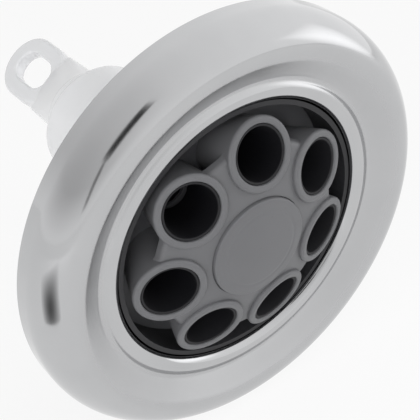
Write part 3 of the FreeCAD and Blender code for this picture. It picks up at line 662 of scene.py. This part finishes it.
def barrelPiece():
    shape = barrelShape
    floor = ringCircle - shape["cord"] - shape["float"]
    landEnd = shape["start"] + shape["landLength"]
    innerEnd = shape["end"] - shape["endWall"]
    corners = [(shape["bore"], shape["start"], 0.2), (shape["land"], shape["start"], 0.3)]
    for depth in shape["grooves"]:
        near, far = depth - shape["grooveHalf"], depth + shape["grooveHalf"]
        corners += [(shape["land"], near, 0.12), (floor, near, 0.1),
                    (floor, far, 0.1), (shape["land"], far, 0.12)]
    corners += [(shape["land"], landEnd, 0.4), (shape["waist"], landEnd + shape["landTaper"], 0.4),
                (shape["waist"], shape["windowStart"], 0), (shape["bore"], shape["windowStart"], 0)]
    rear = roundedProfile([
        (shape["bore"], shape["windowEnd"], 0), (shape["waist"], shape["windowEnd"], 0),
        (shape["waist"], shape["guide"], 0.2),
        (shape["radius"], shape["guide"] + shape["radius"] - shape["waist"], 0.2),
        (shape["radius"], shape["end"], shape["endRound"]), (shape["endHole"], shape["end"], 0.1),
        (shape["endHole"], innerEnd, 0.1), (shape["bore"], innerEnd, 0.4),
    ])
    parts = [lathe(roundedProfile(corners, steps=5), shape["sides"]), lathe(rear, shape["sides"])]
    post = np.array([[shape["bore"], shape["windowStart"]], [shape["waist"], shape["windowStart"]],
                     [shape["waist"], shape["windowEnd"]], [shape["bore"], shape["windowEnd"]]])
    lugTop, lugEnd = shape["radius"] + shape["lugHeight"], shape["windowStart"] + shape["lugLength"]
    lugFoot = shape["waist"] - shape["bite"]
    lug = roundedProfile([(lugFoot, shape["windowStart"], 0), (lugTop, shape["windowStart"], 0.4),
                          (lugTop, lugEnd, 0.6), (lugFoot, lugEnd, 0)], steps=4)
    spread = 360.0 / shape["windows"]
    for step in range(shape["windows"]):
        middle = shape["windowTurn"] + spread * (step + 0.5)
        parts.append(sectorBlock(post, middle, spread - shape["windowSweep"], shape["postSteps"]))
        parts.append(sectorBlock(lug, middle, shape["lugSweep"], shape["lugSteps"]))
    return addPiece("barrelShell", parts)


dress(barrelPiece(), "white_plastic", "barrel", "barrel")
for name, replaced, depth in (("barrelRingFront", "barrel_o_ring_front", barrelShape["grooves"][0]),
                              ("barrelRingRear", "barrel_o_ring_rear", barrelShape["grooves"][1])):
    ring = addPiece(name, [cordRing(ringCircle, barrelShape["cord"], depth)])
    dress(ring, "rubber", "barrel", replaced)


# Tail: a round neck that flattens into a long loop, melted into one moulding
tailShape = {
    "start": 64.5, "neckRadius": 13.4, "neckLength": 9.4, "neckRound": 3.0, "neckEdge": 1.6,
    "spigot": 8.0, "spigotStart": 60.3, "root": 12.0, "rootWide": 11.2, "rootThick": 6.6, "rootReach": 10.0,
    "loopDepth": 102.6, "loopRadius": 11.0, "loopHole": 5.2, "loopStraight": 7.2, "loopWall": 4.6,
    "loopRound": 1.2, "holeRound": 0.5, "loopTurn": 131.0, "voxel": 0.00042, "easeRounds": 6,
    "sides": 128, "bladeSides": 72, "bladeSteps": 26,
}
neckEnd = tailShape["start"] + tailShape["neckLength"]


def flattenedPart():
    # ellipses across the jet axis; both half axes follow one parabola through three stations
    shape = tailShape
    holeStart = shape["loopDepth"] - shape["loopStraight"] / 2 - shape["loopHole"]
    stations = np.array([
        [neckEnd - shape["neckRound"], shape["root"], shape["root"]],
        [neckEnd + shape["rootReach"], shape["rootWide"], shape["rootThick"]],
        [holeStart, shape["loopRadius"], shape["loopWall"] / 2],
    ])
    depth = np.linspace(stations[0, 0], stations[2, 0], shape["bladeSteps"])
    wide, thick = [np.polyval(np.polyfit(stations[:, 0], stations[:, column], 2), depth)
                   for column in (1, 2)]
    depth = np.concatenate([depth[:1], depth, depth[-1:]])
    wide, thick = [np.concatenate([[0.0], half, [0.0]])[:, None] for half in (wide, thick)]
    turns = np.arange(shape["bladeSides"]) * 2 * np.pi / shape["bladeSides"]
    points = (depth[:, None, None] * jetAxis
              + (thick * np.cos(turns))[..., None] * turnedBy(shape["loopTurn"])
              + (wide * np.sin(turns))[..., None] * turnedBy(shape["loopTurn"] + 90.0))
    return points.reshape(-1, 3), gridQuads(len(depth), len(turns))


def tailPiece():
    shape = tailShape
    neck = roundedProfile([
        (0.0, shape["spigotStart"], 0), (shape["spigot"], shape["spigotStart"], 0.3),
        (shape["spigot"], shape["start"], 0), (shape["neckRadius"], shape["start"], shape["neckEdge"]),
        (shape["neckRadius"], neckEnd, shape["neckRound"]), (0.0, neckEnd, 0),
    ], closed=False)
    half = shape["loopWall"] / 2
    loop = roundedProfile([
        (shape["loopHole"], -half, shape["holeRound"]), (shape["loopRadius"], -half, shape["loopRound"]),
        (shape["loopRadius"], half, shape["loopRound"]), (shape["loopHole"], half, shape["holeRound"]),
    ])
    ring = stadiumRing(loop, shape["loopStraight"], shape["loopDepth"] * jetAxis,
                       turnedBy(shape["loopTurn"]), shape["sides"])
    return addPiece("tailNozzle", [lathe(neck, shape["sides"], closed=False), flattenedPart(), ring])


def melted(piece, voxel, rounds):
    # joins a piece's closed parts into one skin and eases the corners where they meet
    remesh = piece.modifiers.new("join", "REMESH")
    remesh.mode = "VOXEL"
    remesh.voxel_size = voxel
    smooth = piece.modifiers.new("ease", "SMOOTH")
    smooth.factor = 0.5
    smooth.iterations = rounds
    graph = bpy.context.evaluated_depsgraph_get()
    mesh = bpy.data.meshes.new_from_object(piece.evaluated_get(graph))
    old = piece.data
    piece.modifiers.clear()
    piece.data = mesh
    bpy.data.meshes.remove(old)
    mesh.shade_smooth()
    return piece


tail = melted(tailPiece(), tailShape["voxel"], tailShape["easeRounds"])
dress(tail, "white_plastic", "barrel", "tail_nozzle")
print("rear finished")


# Stage, light and camera
stageLook = {
    "floorHeight": -0.0640, "floorSize": 3.0, "floorColour": (0.86, 0.86, 0.86, 1), "shadowShare": 0.16,
    "glossyShare": 0.85, "ambient": 0.5, "rightGain": 0.25, "leftLoss": 0.42, "lossRise": 3.0,
}
lamps = [
    # name, direction from the jet, distance, size, power
    ("rightSoftbox", (0.88, -0.40, 0.22), 0.9, 0.30, 2.5),
    ("topSoftbox", (0.25, -0.35, 0.90), 1.1, 0.9, 2.0),
    ("leftFill", (-0.80, -0.45, 0.25), 0.5, 0.35, 1.15),
    ("frontFill", (-0.50, -0.66, 0.56), 1.3, 0.5, 3.0),
]
cards = [
    # name, its centre, direction of its length, width, length, share, brightness, hardness of its edges
    ("cameraCard", (-0.352, -0.412, 0.508), (-0.34, -0.06, -0.29), 0.17, 0.38, 1.0, 0.03, 3.0),
    ("standCard", (-0.505, -0.475, 0.253), (-0.08, -0.12, -0.37), 0.07, 0.34, 0.7, 0.03, 2.0),
    ("sideCard", (-0.141, -0.036, -0.046), (-0.3, 0.2, 0.9), 0.07, 0.085, 0.9, 0.03, 1.0),
    ("glowCard", (0.79, -0.32, 0.19), (0.0, 0.0, 1.0), 0.60, 0.66, 1.0, 1.9, 1.0),
]
viewpoint = {"location": (-0.144189, -0.186234, 0.176409), "azimuth": -37.036, "elevation": 36.468,
             "lens": 90.5655}


def addFloor():
    size, height = stageLook["floorSize"] / 2, stageLook["floorHeight"]
    mesh = bpy.data.meshes.new("studioFloor")
    corners = [(-size, -size, height), (size, -size, height), (size, size, height), (-size, size, height)]
    mesh.from_pydata(corners, [], [(0, 1, 2, 3)])
    floor = bpy.data.objects.new("studioFloor", mesh)
    bpy.context.scene.collection.objects.link(floor)
    material, graph = newMaterial("paleFloor")
    matt = graph.node("ShaderNodeBsdfDiffuse", None, {"Color": stageLook["floorColour"]})
    white = graph.node("ShaderNodeEmission", None, {"Color": (1, 1, 1, 1), "Strength": 1.0})
    outputs = graph.node("ShaderNodeLightPath").socket.node.outputs
    camera, glossy = Link(graph, outputs["Is Camera Ray"]), Link(graph, outputs["Is Glossy Ray"])
    share = camera * (1.0 - stageLook["shadowShare"]) + glossy * stageLook["glossyShare"]
    surface = graph.node("ShaderNodeMixShader", None, {0: share, 1: matt, 2: white})
    graph.node("ShaderNodeOutputMaterial", None, {"Surface": surface})
    mesh.materials.append(material)


def lightWorld():
    # white where it is seen; in reflections it is a little brighter to the right than to the left
    world = bpy.data.worlds.new("studioWorld")
    bpy.context.scene.world = world
    world.use_nodes = True
    graph = Graph(world.node_tree)
    outputs = graph.node("ShaderNodeLightPath").socket.node.outputs
    camera, glossy, through = [Link(graph, outputs[name])
                               for name in ("Is Camera Ray", "Is Glossy Ray", "Is Transmission Ray")]
    side, height = graph.split(graph.node("ShaderNodeTexCoord", output=0))[::2]
    rise = (height * stageLook["lossRise"]).clamped(0.0, 1.0)    # so that no horizon shows
    right, left = side.clamped(0.0, 1.0), (side * -1.0).clamped(0.0, 1.0)
    slant = right * stageLook["rightGain"] - left * rise * stageLook["leftLoss"]
    shown = (camera + glossy + through).clamped(0.0, 1.0)
    strength = shown * (1.0 - stageLook["ambient"]) + stageLook["ambient"] + glossy * slant
    background = graph.node("ShaderNodeBackground", None, {"Color": (1, 1, 1, 1), "Strength": strength})
    graph.node("ShaderNodeOutputWorld", None, {"Surface": background})


def addLamp(name, direction, distance, size, power):
    light = bpy.data.lights.new(name, "AREA")
    light.energy = power
    light.size = size
    lamp = bpy.data.objects.new(name, light)
    bpy.context.scene.collection.objects.link(lamp)
    towards = Vector(direction).normalized()
    lamp.location = towards * distance
    lamp.rotation_euler = towards.to_track_quat("Z", "Y").to_euler()
    lamp.visible_glossy = False    # reflections show the cards and the world instead


def addCard(name, place, direction, width, length, share, brightness, hardness):
    # a dark or bright card with soft edges, facing the jet, that only reflections show
    towards = Vector(place).normalized()
    along = Vector(direction)
    along = (along - along.dot(towards) * towards).normalized()
    across = along.cross(towards)
    mesh = bpy.data.meshes.new(name)
    corners = [Vector(place) + across * (width / 2 * a) + along * (length / 2 * b)
               for a, b in ((-1, -1), (1, -1), (1, 1), (-1, 1))]
    mesh.from_pydata([tuple(corner) for corner in corners], [], [(0, 1, 2, 3)])
    layer = mesh.uv_layers.new(name="card")
    layer.data.foreach_set("uv", [-1, -1, 1, -1, 1, 1, -1, 1])
    card = bpy.data.objects.new(name, mesh)
    bpy.context.scene.collection.objects.link(card)
    for ray in ("camera", "diffuse", "transmission", "volume_scatter", "shadow"):
        setattr(card, "visible_" + ray, False)
    material, graph = newMaterial(name)
    u, v = graph.split(graph.node("ShaderNodeTexCoord", output=2))[:2]
    edge = ((1.0 - (u * u) ** hardness) * (1.0 - (v * v) ** hardness)).clamped(0.0, 1.0)
    clear = graph.node("ShaderNodeBsdfTransparent")
    glow = graph.node("ShaderNodeEmission", None, {"Color": (1, 1, 1, 1), "Strength": brightness})
    surface = graph.node("ShaderNodeMixShader", None, {0: edge * share, 1: clear, 2: glow})
    graph.node("ShaderNodeOutputMaterial", None, {"Surface": surface})
    mesh.materials.append(material)


def addCamera():
    camera = bpy.data.cameras.new("photoCamera")
    camera.sensor_width = 36.0
    camera.lens = viewpoint["lens"]
    holder = bpy.data.objects.new("photoCamera", camera)
    bpy.context.scene.collection.objects.link(holder)
    holder.location = viewpoint["location"]
    tilt, turn = math.radians(90.0 - viewpoint["elevation"]), math.radians(viewpoint["azimuth"])
    holder.rotation_euler = (tilt, 0.0, turn)
    camera.clip_start = 0.01
    bpy.context.scene.camera = holder


addFloor()
lightWorld()
for lamp in lamps:
    addLamp(*lamp)
for card in cards:
    addCard(*card)
addCamera()
bpy.context.scene.view_settings.view_transform = "Standard"
print("stage finished")
